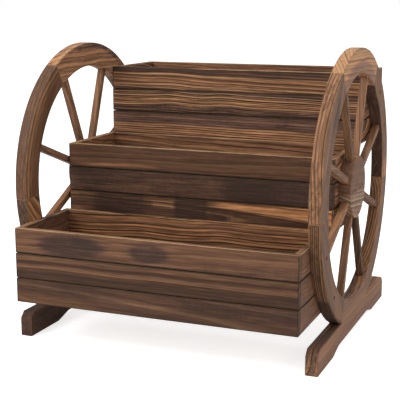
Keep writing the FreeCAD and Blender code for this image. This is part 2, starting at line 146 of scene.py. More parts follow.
def placeGroup(tree, group, **values):
    node = addNode(tree, "Group", node_tree=group)
    for label, value in values.items():
        feed(value, node.inputs[label.replace("_", " ")])
    return {socket.name: Amount(socket) for socket in node.outputs}


ringValues = {
    "wave": (5.0, 20.0, 20.0),     # noise per metre along, across and deep
    "jitter": (28.0, 160.0, 160.0),
    "jitterSize": 0.0012,
    "unevenScale": 38.0,           # changes of ring width per metre from the heart
    "unevenness": 2.2,
    "bandScale": 95.0,
    "faintest": 0.35,              # strength of the faintest dark line
}


def makeRingsGroup():
    # growth rings round the heart of the log, from a place in the log in metres
    group, given, result = newGroup(
        "growthRings", ("Grain Place",), ("Ring Width", "Late Share", "Waviness"),
        ("Late Wood", "Gleam", "Ring Tone", "Band", "Ring Slope"))
    place = given["Grain Place"]
    across, deep = splitVector(place)[1:]
    wave = (addNoise(place, ringValues["wave"], 2.5, 0.45) - 0.5) * given["Waviness"]
    jitter = (addNoise(place, ringValues["jitter"], 1.0) - 0.5) * ringValues["jitterSize"]
    fromHeart = addMath("SQRT", across * across + deep * deep) + (wave + jitter)
    uneven = addNoise(fromHeart, ringValues["unevenScale"])
    bands = addNoise(fromHeart, ringValues["bandScale"], 1.0)
    count = fromHeart / given["Ring Width"] + uneven * ringValues["unevenness"]
    part = addMath("FRACT", count)
    dice = addNode(group, "TexWhiteNoise", noise_dimensions="1D")
    feed(addMath("FLOOR", count), dice.inputs["W"])
    tone = Amount(dice.outputs["Value"])
    # the dark line comes slowly and ends sharply
    rise = addRange(part, 0.94 - given["Late Share"], 0.90)
    drop = addRange(part, 0.93, 1.0, 1.0, 0.0)
    strength = tone * (1.0 - ringValues["faintest"]) + ringValues["faintest"]
    # the hard ridge next to the dark line keeps a thin bright line where it was brushed
    ridge = addRange(part, 0.0, 0.07) * addRange(part, 0.10, 0.30, 1.0, 0.0)
    bright = addRange(addMath("FRACT", tone * 7.3), 0.25, 0.85)
    feed(rise * drop * strength, result["Late Wood"])
    feed(ridge * bright, result["Gleam"])
    feed(tone, result["Ring Tone"])
    feed(addRange(bands, 0.36, 0.64), result["Band"])
    feed(part, result["Ring Slope"])
    return group


fibreValues = {
    "Broad": ((4.0, 210.0, 210.0), 3.0, 0.65, 0.32, 0.68),   # noise, detail, roughness, cut off
    "Fine": ((9.0, 620.0, 620.0), 3.0, 0.65, 0.3, 0.7),
    "Pores": ((60.0, 2600.0, 2600.0), 1.0, 0.5, 0.55, 0.75),
}


def makeFibreGroup():
    # streaks along the grain: broad ones for colour, fine ones for the brushed relief
    group, given, result = newGroup("fibreStreaks", ("Grain Place",), (), fibreValues)
    for name, (scale, detail, roughness, low, high) in fibreValues.items():
        noise = addNoise(given["Grain Place"], scale, detail, roughness)
        feed(addRange(noise, low, high), result[name])
    return group


scorchValues = {
    "patches": ((12.0, 60.0, 60.0), 4.0, 0.65, 0.8),         # noise, detail, roughness, share
    "streaks": ((6.0, 330.0, 330.0), 2.0, 0.6, 0.5),
    "chatter": ((190.0, 60.0, 60.0), 2.0, 0.5, 0.25),
}


def makeScorchGroup():
    # where the wood is charred, and at a few places shade painted on in the same dark: the
    # painted mask, broken up along the grain
    group, given, result = newGroup("scorchAndShade", ("Grain Place",), ("Painted", "Everywhere"),
                                    ("BurntAndShaded",))
    amount = given["Painted"] + given["Everywhere"]
    for scale, detail, roughness, share in scorchValues.values():
        amount += (addNoise(given["Grain Place"], scale, detail, roughness) - 0.5) * share
    feed(addRange(amount, 0.18, 0.62), result["BurntAndShaded"])
    return group


edgeValues = {
    "uneven": (25.0, 90.0, 90.0),
    "unevenness": 2.4,             # how unevenly far the rubbing reaches, in widths
    "least": -0.3,
    "rubbedFrom": 0.35,            # where it begins to fade, as a share of its reach
    "shadedFrom": 0.5,             # the painted shade along the edges, in widths
    "shadedTo": 1.4,
}


def makeEdgeGroup():
    # how near a long edge is, from the place in the piece and half of its size: the edges are
    # rubbed, and darkened with painted shade
    group, given, result = newGroup("rubbedAndShadedEdges", ("From Middle", "Half Size", "Grain Place"),
                                    ("Width",), ("Rubbed", "Shaded"))
    away = addMath("ABSOLUTE", given["From Middle"], kind="VectorMath")
    a, b, c = splitVector(addMath("SUBTRACT", given["Half Size"], away, kind="VectorMath"))
    least = addMath("MINIMUM", a, addMath("MINIMUM", b, c))
    most = addMath("MAXIMUM", a, addMath("MAXIMUM", b, c))
    # the second nearest face tells how far the edge is
    edge = a + (b + c) - (least + most)
    width = given["Width"]
    uneven = addNoise(given["Grain Place"], edgeValues["uneven"], 3.0, 0.6)
    reach = width * (uneven * edgeValues["unevenness"] + edgeValues["least"])
    feed(addRange(edge, reach * edgeValues["rubbedFrom"], reach, 1.0, 0.0), result["Rubbed"])
    feed(addRange(edge, width * edgeValues["shadedFrom"], width * edgeValues["shadedTo"],
                  1.0, 0.0), result["Shaded"])
    return group


growthRings = makeRingsGroup()
fibreStreaks = makeFibreGroup()
scorchAndShade = makeScorchGroup()
rubbedAndShadedEdges = makeEdgeGroup()
print("wood effects ready")


plankWoodValues = {
    "warmEarly": (0.290, 0.128, 0.053, 1.0),
    "greyEarly": (0.127, 0.066, 0.048, 1.0),
    "late": (0.030, 0.0145, 0.0095, 1.0),
    "gleam": (0.470, 0.270, 0.120, 1.0),
    # the colour of char, also painted on as shade
    "burntAndShade": (0.040, 0.0220, 0.0168, 1.0),
    # painted shade, darkest along the edges of each piece where the planks meet
    "paintedEdgeShade": (0.014, 0.0080, 0.0055, 1.0),
    "rubbed": (0.440, 0.265, 0.135, 1.0),
    "ringWidth": 0.007,
    "lateShare": 0.42,
    "waviness": 0.006,
    "everywhere": 0.02,      # a little soot where none is painted
    "fineShift": 0.56,       # how much the fine streaks lighten and darken
    "edgeWidth": 0.0018,
    "edgeShade": 0.95,
}
innerWoodValues = dict(plankWoodValues, ringWidth=0.006)
rimWoodValues = dict(plankWoodValues, greyEarly=(0.160, 0.086, 0.056, 1.0),
                     late=(0.048, 0.0240, 0.0160, 1.0), ringWidth=0.006, everywhere=0.0,
                     fineShift=0.30, edgeShade=0.30)
spokeWoodValues = dict(rimWoodValues, ringWidth=0.0028, lateShare=0.35, waviness=0.003)
hubWoodValues = dict(rimWoodValues, ringWidth=0.009, gleam=(0.400, 0.270, 0.160, 1.0))
footWoodValues = dict(rimWoodValues, waviness=0.004)

toneValues = {
    "ringWarmth": 0.45,      # how far a ring's own tone goes warm or grey
    "bandWarmth": 0.40,
    "bandLight": 0.45,
    "slopeLight": -0.32,     # a ring grows darker towards its dark line
    "slopeMiddle": 0.47,
    "broadLight": 0.60,
    "leastBroad": 0.15,
}
surfaceValues = {
    "rough": 0.50,
    "fineRough": 0.16,
    "charRough": 0.08,
    "lateRough": -0.12,
    "specular": 0.13,
    "lateRelief": 0.9,
    "fineRelief": 0.30,
    "poreRelief": -0.25,
    "bumpStrength": 0.55,
    "bumpDistance": 0.0006,
}


def newMaterial(name):
    material = bpy.data.materials.new(name)
    material.use_nodes = True
    return material, material.node_tree, material.node_tree.nodes["Principled BSDF"].inputs


def readAttribute(tree, name, output="Vector"):
    return addSource(tree, "Attribute", output, attribute_name=name)


def makeWood(name, values):
    material, tree, shader = newMaterial(name)
    place = readAttribute(tree, "grainPlace")
    shade, warmth, contrast = splitVector(readAttribute(tree, "woodTone"))
    painted, wear, gleam = splitVector(readAttribute(tree, "woodMarks"))
    ringScale = readAttribute(tree, "ringScale", "Fac")
    pale = readAttribute(tree, "pale", "Fac")

    rings = placeGroup(tree, growthRings, Grain_Place=place,
                       Ring_Width=ringScale * values["ringWidth"],
                       Late_Share=values["lateShare"], Waviness=values["waviness"])
    streaks = placeGroup(tree, fibreStreaks, Grain_Place=place)
    charAndShade = placeGroup(tree, scorchAndShade, Grain_Place=place, Painted=painted,
                       Everywhere=values["everywhere"])
    edges = placeGroup(tree, rubbedAndShadedEdges, From_Middle=readAttribute(tree, "fromMiddle"),
                       Half_Size=readAttribute(tree, "halfSize"), Grain_Place=place,
                       Width=values["edgeWidth"])
    broad, fine = streaks["Broad"], streaks["Fine"]

    # each ring and each band of rings has a tone of its own
    ringShift = (rings["Ring Tone"] - 0.5) * contrast
    bandShift = (rings["Band"] - 0.5) * contrast
    slopeShift = (rings["Ring Slope"] - toneValues["slopeMiddle"]) * contrast
    broadShift = (broad - 0.5) * (contrast * toneValues["broadLight"] + toneValues["leastBroad"])
    warm = (ringShift * toneValues["ringWarmth"] + warmth
            + bandShift * toneValues["bandWarmth"]).held()
    light = ((broadShift + 1.0) * (fine * values["fineShift"] + (1.0 - values["fineShift"] / 2))
             * (bandShift * toneValues["bandLight"] + 1.0)
             * (slopeShift * toneValues["slopeLight"] + 1.0) * (shade + 1.0))
    grey = Amount(addNode(tree, "CombineColor", light, light, light).outputs[0])
    early = addMix(warm, values["greyEarly"], values["warmEarly"])
    colour = addMix(1.0, early, grey, "MULTIPLY")

    # from the wood's own lines to what was done to its surface and the painted shade along its
    # edges, one over the other
    lateAmount = (rings["Late Wood"] * contrast).held()
    brushed = (rings["Gleam"] * gleam).held()
    palest = (pale * (fine * 0.8 + 0.4)).held() * (1.0 - lateAmount)
    # char, and painted shade in the same dark
    charredAndShaded = (charAndShade["BurntAndShaded"] * (1.0 - broad * 0.22 - fine * 0.20)).held()
    # painted shade along the edges
    paintedEdgeShade = edges["Shaded"] * values["edgeShade"]
    rubbed = (edges["Rubbed"] * wear).held()
    for amount, name in ((lateAmount, "late"), (brushed, "gleam"), (palest, "gleam"),
                         (charredAndShaded, "burntAndShade"), (paintedEdgeShade, "paintedEdgeShade"), (rubbed, "rubbed")):
        colour = addMix(amount, colour, values[name])
    feed(colour, shader["Base Color"])
    feed(fine * surfaceValues["fineRough"] + surfaceValues["rough"]
         + charredAndShaded * surfaceValues["charRough"] + lateAmount * surfaceValues["lateRough"],
         shader["Roughness"])
    feed(surfaceValues["specular"], shader["Specular IOR Level"])

    bump = addNode(tree, "Bump", surfaceValues["bumpStrength"], surfaceValues["bumpDistance"])
    feed(lateAmount * surfaceValues["lateRelief"] + fine * surfaceValues["fineRelief"]
         + streaks["Pores"] * surfaceValues["poreRelief"], bump.inputs["Height"])
    feed(Amount(bump.outputs[0]), shader["Normal"])
    return material


woods = {
    "plank_wood": makeWood("charredPlank", plankWoodValues),
    "inner_wood": makeWood("innerPlank", innerWoodValues),
    "rim_wood": makeWood("rimWood", rimWoodValues),
    "spoke_wood": makeWood("spokeWood", spokeWoodValues),
    "hub_wood": makeWood("hubWood", hubWoodValues),
    "foot_wood": makeWood("footWood", footWoodValues),
}
print("woods ready")


def dab(along=(-1.0, 2.0), across=(-3.0, 3.0), deep=(-3.0, 3.0), fade=0.045, soft=0.14,
        slant=0.0, oval=False, **amounts):
    # more or less of some things on a part of a piece: along it 0..1, across it and deep -1..1.
    # Its ends fade along the piece and its sides are soft. A slanted dab runs across the grain
    return {"along": along, "across": across, "deep": deep, "fade": fade, "soft": soft,
            "slant": slant, "oval": oval, "amounts": amounts}


def stripe(low, high, **rest):
    # a dab from end to end
    return dab(across=(low, high), **rest)


def lookFor(name, **changes):
    # a look of its own for every piece, the same at every run
    dice = random.Random(name)
    look = {
        # heart of the log from the piece's middle, across and deep
        "heart": (dice.choice((-1, 1)) * dice.uniform(0.015, 0.085),
                  -dice.uniform(0.030, 0.080)),
        "ringScale": dice.uniform(0.85, 1.35),
        # how much the grain lines drop from end to end
        "slope": dice.uniform(-0.004, 0.004),
        # where along 0..1, length share, rise in metres
        "bumps": ((dice.uniform(0.15, 0.45), 0.10, dice.uniform(-0.003, 0.004)),
                  (dice.uniform(0.5, 0.85), 0.12, dice.uniform(-0.003, 0.004))),
        "shade": dice.uniform(-0.15, 0.10),
        "warmth": dice.uniform(0.30, 0.65),
        "contrast": dice.uniform(0.65, 1.0),
        "burn": dice.uniform(0.0, 0.25),
        "gleam": dice.uniform(0.2, 0.5),
        "start": dice.uniform(0.0, 40.0),
        # how much the heart comes nearer from end to end
        "taper": 0.02,
        "wear": 0.10,
        "pale": 0.0,
        "paint": (),
    }
    look.update(changes)
    return look


def softStep(value, low, high):
    share = min(1.0, max(0.0, (value - low) / (high - low)))
    return share * share * (3 - 2 * share)


def softBetween(value, low, high, feather):
    rise = softStep(value, low - feather, low + feather)
    fall = softStep(value, high - feather, high + feather)
    return rise * (1 - fall)


def coverage(mark, share, across, deep):
    # how much of a dab lies on a point, 0..1
    across -= mark["slant"] * (share - 0.5)
    if mark["oval"]:
        off = [(value - (low + high) / 2) / ((high - low) / 2)
               for value, (low, high) in ((share, mark["along"]), (across, mark["across"]))]
        return 1 - softStep(math.hypot(*off), 0.55, 1.15)
    return (softBetween(share, *mark["along"], mark["fade"])
            * softBetween(across, *mark["across"], mark["soft"])
            * softBetween(deep, *mark["deep"], mark["soft"]))


paintable = ("shade", "warmth", "contrast", "burn", "wear", "gleam", "pale")


def dressWood(piece, look, slot, locate, halfSize, edgePlace=None):
    # writes the place in the log, the edges and the painted tones to the mesh, then the wood
    mesh = piece.data
    count = len(mesh.vertices)
    grain, middle, tone, marks, pale = [], [], [], [], []
    length = halfSize[0] * 2
    heartAcross, heartDeep = look["heart"]
    for vertex in mesh.vertices:
        along, across, deep = locate(vertex.co)
        share = along / length + 0.5
        lift = look["slope"] * (share - 0.5)
        for where, width, rise in look["bumps"]:
            lift += rise * math.exp(-((share - where) / width) ** 2)
        grain += (along + look["start"], across - lift - heartAcross,
                  deep - heartDeep + look["taper"] * (share - 0.5))
        place = edgePlace(vertex.co) if edgePlace else (along, across, deep)
        middle += place
        shares = (place[0] / length + 0.5, (place[1] - lift) / halfSize[1],
                  place[2] / halfSize[2])
        amounts = {word: look[word] for word in paintable}
        for mark in look["paint"]:
            covered = coverage(mark, *shares)
            for word, amount in mark["amounts"].items():
                amounts[word] += amount * covered
        tone += (amounts["shade"], amounts["warmth"], amounts["contrast"])
        marks += (amounts["burn"], amounts["wear"], amounts["gleam"])
        pale.append(amounts["pale"])
    for name, values in (("grainPlace", grain), ("fromMiddle", middle), ("woodTone", tone),
                         ("woodMarks", marks), ("halfSize", list(halfSize) * count)):
        layer = mesh.attributes.new(name, "FLOAT_VECTOR", "POINT")
        layer.data.foreach_set("vector", values)
    for name, values in (("ringScale", [look["ringScale"]] * count), ("pale", pale)):
        layer = mesh.attributes.new(name, "FLOAT", "POINT")
        layer.data.foreach_set("value", values)
    mesh.materials.clear()
    mesh.materials.append(woods[slot])
    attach(piece, "root")


sharpAngle = math.radians(38)


def softRectangle(halfWide, halfThick, ease, stepsWide, stepsThick, arcSteps=3):
    # points round a rectangle with eased corners, anticlockwise
    def onArc(corner, share):
        wide, thick, start = corner
        turn = math.radians(start + 90 * share)
        return Vector((wide + ease * math.cos(turn), thick + ease * math.sin(turn)))

    wide, thick = halfWide - ease, halfThick - ease
    corners = ((wide, -thick, -90), (wide, thick, 0), (-wide, thick, 90), (-wide, -thick, 180))
    steps = (stepsThick, stepsWide, stepsThick, stepsWide)
    points = []
    for number, corner in enumerate(corners):
        points += [onArc(corner, k / arcSteps) for k in range(arcSteps + 1)]
        last, target = points[-1], onArc(corners[(number + 1) % 4], 0)
        points += [last.lerp(target, k / steps[number]) for k in range(1, steps[number])]
    return points


def asPiece(name, form):
    # a smooth object with sharp edges, out of a bmesh
    bmesh.ops.recalc_face_normals(form, faces=form.faces)
    for face in form.faces:
        face.smooth = True
    mesh = bpy.data.meshes.new(name)
    form.to_mesh(mesh)
    form.free()
    mesh.set_sharp_from_angle(angle=sharpAngle)
    piece = bpy.data.objects.new(name, mesh)
    bpy.context.scene.collection.objects.link(piece)
    return piece


def sweep(name, rings):
    # a closed skin through rings of points, with a flat face at each end
    form = bmesh.new()
    rows = [[form.verts.new(point) for point in ring] for ring in rings]
    count = len(rows[0])
    for first, second in zip(rows, rows[1:]):
        for k in range(count):
            after = (k + 1) % count
            form.faces.new((first[k], first[after], second[after], second[k]))
    form.faces.new(list(reversed(rows[0])))
    form.faces.new(rows[-1])
    return asPiece(name, form)


def stationsAlong(low, high, step, ease):
    # (place, how far the section is drawn in) from end to end, with eased ends
    span = high - low - 2 * ease
    count = max(2, round(span / step))
    inner = [low + ease + span * k / count for k in range(count + 1)]
    return [(low, ease)] + [(place, 0.0) for place in inner] + [(high, ease)]


boardValues = {
    "ease": 0.0009,
    "endEase": 0.0004,
    "step": 0.010,
    "rowStep": 0.003,
    "fineRowStep": 0.0014,   # front planks, so that thin painted lines stay thin
}


def makeBoard(name, low, high, grainAxis, wideAxis, slot, look, node,
              rowStep=boardValues["rowStep"]):
    # a board in the box from low to high. The third axis is its thickness
    thickAxis = 3 - grainAxis - wideAxis
    middle = (low + high) / 2
    half = (high - low) / 2
    rowsWide = max(2, round(half[wideAxis] * 2 / rowStep))
    rowsThick = max(2, round(half[thickAxis] * 2 / boardValues["rowStep"]))
    rings = []
    for place, drawnIn in stationsAlong(low[grainAxis], high[grainAxis],
                                        boardValues["step"], boardValues["endEase"]):
        ring = []
        for wide, thick in softRectangle(half[wideAxis] - drawnIn, half[thickAxis] - drawnIn,
                                         boardValues["ease"], rowsWide, rowsThick):
            point = Vector((0, 0, 0))
            point[grainAxis] = place
            point[wideAxis] = middle[wideAxis] + wide
            point[thickAxis] = middle[thickAxis] + thick
            ring.append(point)
        rings.append(ring)
    piece = sweep(name, rings)

    def locate(point):
        off = point - middle
        return off[grainAxis], off[wideAxis], off[thickAxis]

    dressWood(piece, look, slot, locate, (half[grainAxis], half[wideAxis], half[thickAxis]))
    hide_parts(node)


tiers = ("lower", "middle", "upper")
plankLooks = {
    "lower_front_plank_1": dict(
        heart=(0.055, -0.060), ringScale=1.6, slope=0.004, bumps=((0.2, 0.15, 0.001),),
        shade=-0.33, warmth=0.38, contrast=0.34, burn=0.06, gleam=0.10,
        paint=(dab((0.06, 0.36), (-1.05, 0.95), oval=True, burn=0.50, warmth=-0.40),
               dab((0.41, 0.58), (-0.95, 0.90), oval=True, burn=0.42, warmth=-0.40),
               dab((0.62, 2.0), (-3.0, -0.15), fade=0.08, soft=0.3, burn=0.24),
               dab((0.60, 2.0), fade=0.08, contrast=-0.16),
               dab((0.33, 0.60), (0.3, 3.0), shade=0.12))),
    "lower_front_plank_2": dict(
        heart=(-0.150, -0.030), ringScale=2.6, slope=0.003,
        bumps=((0.16, 0.10, 0.0015), (0.38, 0.08, -0.0012), (0.52, 0.10, 0.0014)),
        shade=-0.68, warmth=0.48, contrast=0.48, burn=0.0, gleam=0.12,
        paint=(stripe(0.32, 0.54, soft=0.10, burn=0.80),
               stripe(-0.60, -0.36, soft=0.10, burn=0.80),
               stripe(-0.80, -0.70, soft=0.06, burn=0.55),
               stripe(0.60, 3.0, shade=0.30),
               stripe(0.76, 0.90, soft=0.06, pale=0.12),
               stripe(-0.15, 0.25, shade=0.40),
               dab((-1.0, 0.8), (-0.02, 0.18), fade=0.1, soft=0.08, pale=0.08))),
    "lower_front_plank_3": dict(
        heart=(-0.045, -0.090), ringScale=1.6, slope=-0.005, bumps=((0.3, 0.2, 0.002),),
        shade=-0.54, warmth=0.25, contrast=0.28, burn=0.16, gleam=0.10,
        paint=(dab((0.60, 2.0), (-0.1, 0.75), fade=0.05, soft=0.2, burn=0.28),
               dab((0.10, 0.35), (0.2, 0.8), fade=0.06, soft=0.2, burn=0.22),
               dab((0.30, 0.55), (-0.6, 0.1), shade=0.25),
               dab((0.40, 0.56), (-0.25, 0.05), oval=True, pale=0.10),
               dab((-1.0, 0.3), (-3.0, -0.2), warmth=0.20))),
    "middle_front_plank_1": dict(
        heart=(0.120, -0.060), ringScale=1.9, slope=0.002,
        bumps=((0.25, 0.12, 0.0015), (0.6, 0.15, -0.0012)),
        shade=-0.52, warmth=0.48, contrast=0.36, burn=0.04, gleam=0.10,
        paint=(dab((0.03, 0.36), (-3.0, -0.60), warmth=0.25),
               dab((0.06, 0.34), (-0.78, -0.56), fade=0.06, soft=0.08, shade=0.50),
               dab((0.14, 0.62), (-3.0, -0.84), fade=0.06, soft=0.06, burn=0.36),
               dab((0.3, 2.0), (0.3, 3.0), burn=0.16))),
    "middle_front_plank_2": dict(
        heart=(0.090, -0.070), ringScale=1.2, slope=0.0, bumps=((0.4, 0.2, 0.001),),
        shade=-0.34, warmth=0.32, contrast=0.36, burn=0.40, gleam=0.07,
        paint=(dab((0.62, 0.80), burn=0.2), dab((0.62, 2.0), warmth=-0.3))),
    "middle_front_plank_3": dict(
        heart=(-0.012, -0.035), ringScale=1.2, slope=0.010, bumps=((0.1, 0.1, 0.001),),
        shade=-0.40, warmth=0.46, contrast=0.75, burn=0.16, gleam=0.35,
        paint=(dab((0.10, 0.31), fade=0.03, burn=0.36),
               dab((0.427, 0.54), fade=0.003, burn=0.42),
               dab((0.54, 0.66), fade=0.06, burn=0.30),
               dab((0.443, 0.473), (-0.45, 0.25), oval=True, burn=0.45),
               dab((0.58, 2.0), (0.55, 3.0), fade=0.07, soft=0.06, slant=-2.3, warmth=0.50),
               dab((0.60, 2.0), (0.58, 3.0), fade=0.07, soft=0.05, slant=-2.3,
                   shade=1.10, burn=-0.7),
               dab((0.62, 2.0), (0.46, 0.57), fade=0.05, soft=0.04, slant=-2.3, burn=0.70),
               dab((0.80, 2.0), (0.84, 3.0), fade=0.05, soft=0.04, burn=0.7),
               dab((-1.0, 0.10), (0.05, 0.45), slant=1.0, shade=0.60),
               dab((0.34, 0.425), (-0.05, 0.35), fade=0.003, slant=-1.5, shade=0.80),
               dab((0.34, 0.425), fade=0.003, gleam=0.5))),
    "upper_front_plank_1": dict(
        heart=(-0.075, -0.050), ringScale=0.9, slope=-0.008,
        bumps=((0.25, 0.09, 0.0030), (0.53, 0.08, 0.0012)),
        shade=-0.02, warmth=0.58, contrast=0.90, burn=0.0, gleam=0.60,
        paint=(stripe(0.36, 3.0, soft=0.05, burn=0.66),
               stripe(0.36, 3.0, warmth=-0.3),
               stripe(0.22, 0.31, soft=0.05, pale=1.00),
               stripe(0.78, 0.86, soft=0.04, pale=0.70),
               stripe(0.44, 0.70, soft=0.10, burn=0.30),
               stripe(-0.60, -0.52, soft=0.04, burn=0.70),
               stripe(-0.72, -0.64, soft=0.04, pale=0.90),
               stripe(-0.84, -0.78, soft=0.04, burn=0.80))),
    "upper_front_plank_2": dict(
        heart=(-0.110, -0.030), ringScale=0.58, slope=-0.002,
        bumps=((0.25, 0.10, 0.0045), (0.47, 0.07, 0.0040)),
        shade=0.00, warmth=0.36, contrast=1.75, burn=0.0, gleam=1.0,
        paint=(stripe(-3.0, -0.46, soft=0.07, burn=0.36),
               stripe(-3.0, -0.46, warmth=-0.30),
               stripe(-0.48, -0.42, soft=0.04, burn=0.60),
               stripe(-0.36, 0.25, warmth=0.42),
               dab((-1.0, 0.7), (-0.40, 0.15), shade=0.45),
               stripe(0.72, 3.0, contrast=-0.6, shade=0.15),
               stripe(-0.37, -0.30, soft=0.05, pale=1.10),
               dab((0.1, 0.62), (-0.08, 0.0), soft=0.05, pale=0.70),
               dab((-1.0, 0.8), (0.04, 0.10), soft=0.05, burn=0.60),
               dab((-1.0, 0.6), (0.40, 0.47), soft=0.05, pale=0.70),
               stripe(0.52, 0.60, soft=0.05, burn=0.70),
               dab((-1.0, 0.7), (0.68, 0.74), soft=0.04, pale=0.50))),
    "upper_front_plank_3": dict(
        heart=(-0.130, -0.030), ringScale=0.7, slope=-0.004, bumps=((0.3, 0.2, 0.001),),
        shade=0.52, warmth=0.50, contrast=1.35, burn=0.0, gleam=0.70,
        paint=(stripe(0.10, 3.0, burn=0.26, warmth=-0.55, shade=-0.42, contrast=-0.8,
                   gleam=-0.5),
               stripe(-0.36, -0.30, soft=0.05, burn=0.70),
               stripe(-0.26, -0.14, soft=0.06, pale=0.45),
               stripe(-0.66, -0.50, soft=0.08, pale=0.35))),
    "lower_back_plank_1": dict(
        heart=(-0.100, 0.040), ringScale=1.0, slope=0.004,
        bumps=((0.3, 0.10, 0.004), (0.62, 0.08, 0.004)),
        shade=0.10, warmth=0.72, contrast=1.1, burn=0.0, gleam=0.75),
    "lower_left_plank_1": dict(
        heart=(-0.100, 0.050), ringScale=1.2, shade=-0.20, warmth=0.20, contrast=0.5, burn=0.10),
    "lower_right_plank_1": dict(
        heart=(-0.100, -0.050), ringScale=1.2, shade=-0.14, warmth=0.30, contrast=0.36,
        burn=0.05),
    "lower_right_plank_2": dict(
        heart=(-0.080, -0.090), ringScale=1.4, shade=-0.08, warmth=0.30, contrast=0.36,
        burn=0.02, gleam=0.05),
    "lower_right_plank_3": dict(
        heart=(0.090, -0.080), ringScale=1.3, shade=-0.10, warmth=0.30, contrast=0.38,
        burn=0.02, gleam=0.05),
}
# the upper edge of a top plank is worn and pale, and its top face is lighter with painted light
# from above
topEdgeWearAndLight = (stripe(0.90, 3.0, soft=0.03, wear=0.8),
           stripe(0.985, 3.0, soft=0.01, pale=0.42))


def makeBoxes():
    for tier in tiers:
        for row in (1, 2, 3):
            for wall in ("front", "back", "left", "right"):
                node = "%s_%s_plank_%d" % (tier, wall, row)
                low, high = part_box(node)
                grainAxis = 0 if wall in ("front", "back") else 1
                look = lookFor(node, **plankLooks.get(node, {}))
                if row == 1:
                    look["paint"] += topEdgeWearAndLight
                makeBoard("%s%sPlank%d" % (tier, wall, row), low, high, grainAxis, 2,
                          "plank_wood", look, node,
                          boardValues["fineRowStep" if wall == "front" else "rowStep"])
        makeFloor(tier)
        makeInnerFrame(tier)


innerValues = {
    "slats": 3,
    "slatGap": 0.004,
    "batten": 0.018,
}


def makeFloor(tier):
    node = tier + "_floor_slats"
    low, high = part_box(node)
    slats, gap = innerValues["slats"], innerValues["slatGap"]
    wide = (high.y - low.y - (slats - 1) * gap) / slats
    for number in range(slats):
        start = low.y + number * (wide + gap)
        makeBoard("%sSlat%d" % (tier, number + 1), Vector((low.x, start, low.z)),
                  Vector((high.x, start + wide, high.z)), 0, 1, "inner_wood",
                  lookFor("%s slat %d" % (tier, number)), node)


def makeInnerFrame(tier):
    node = tier + "_inner_frame"
    low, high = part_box(node)
    side = innerValues["batten"]
    for endName, startX in (("Left", low.x), ("Right", high.x - side)):
        for cornerName, startY in (("Front", low.y), ("Back", high.y - side)):
            makeBoard("%s%s%sBatten" % (tier, endName, cornerName),
                      Vector((startX, startY, low.z)),
                      Vector((startX + side, startY + side, high.z)), 2, 0, "inner_wood",
                      lookFor("%s %s %s batten" % (tier, endName, cornerName)), node)
        makeBoard("%s%sCleat" % (tier, endName), Vector((startX, low.y + side, low.z)),
                  Vector((startX + side, high.y - side, low.z + side)), 1, 2, "inner_wood",
                  lookFor("%s %s cleat" % (tier, endName)), node)


makeBoxes()
print("boxes ready")


steelValues = {
    "clean": (0.42, 0.36, 0.26, 1.0),
    "dull": (0.22, 0.19, 0.15, 1.0),
    "spots": (700.0, 700.0, 700.0),
}


def makeSteel():
    material, tree, shader = newMaterial("zincSteel")
    spots = addNoise(addSource(tree, "TexCoord", "Object"), steelValues["spots"], 3.0, 0.6)
    feed(addMix(addRange(spots, 0.35, 0.7), steelValues["clean"], steelValues["dull"]),
         shader["Base Color"])
    feed(addRange(spots, 0.3, 0.7, 0.32, 0.55), shader["Roughness"])
    feed(1.0, shader["Metallic"])
    return material


zincSteel = makeSteel()

wheelValues = {
    "rimWidth": 0.050,
    "rimEase": 0.0016,
    "rimRows": (26, 10, 2),      # steps across, through and round a corner of the section
    "rimStep": 0.010,
    "jointEase": 0.0004,
    "saddleAngle": 22.5,
    "felloes": 5,
    "spokes": 8,
    "firstSpoke": 20.0,
    "spokeSide": 0.014,
    "spokeEase": 0.0016,
    "spokeRows": (4, 4, 2),
    "spokeSteps": 20,
    "hubSegments": 72,
    "sinkRadius": 0.0042,
    "sinkDepth": 0.006,
    "sinkInset": 0.027,          # rim's outside to the sinks
    "sinkSegments": 20,
    "cutOver": 0.002,            # how far the sinks' cutters stand out of the rim
}
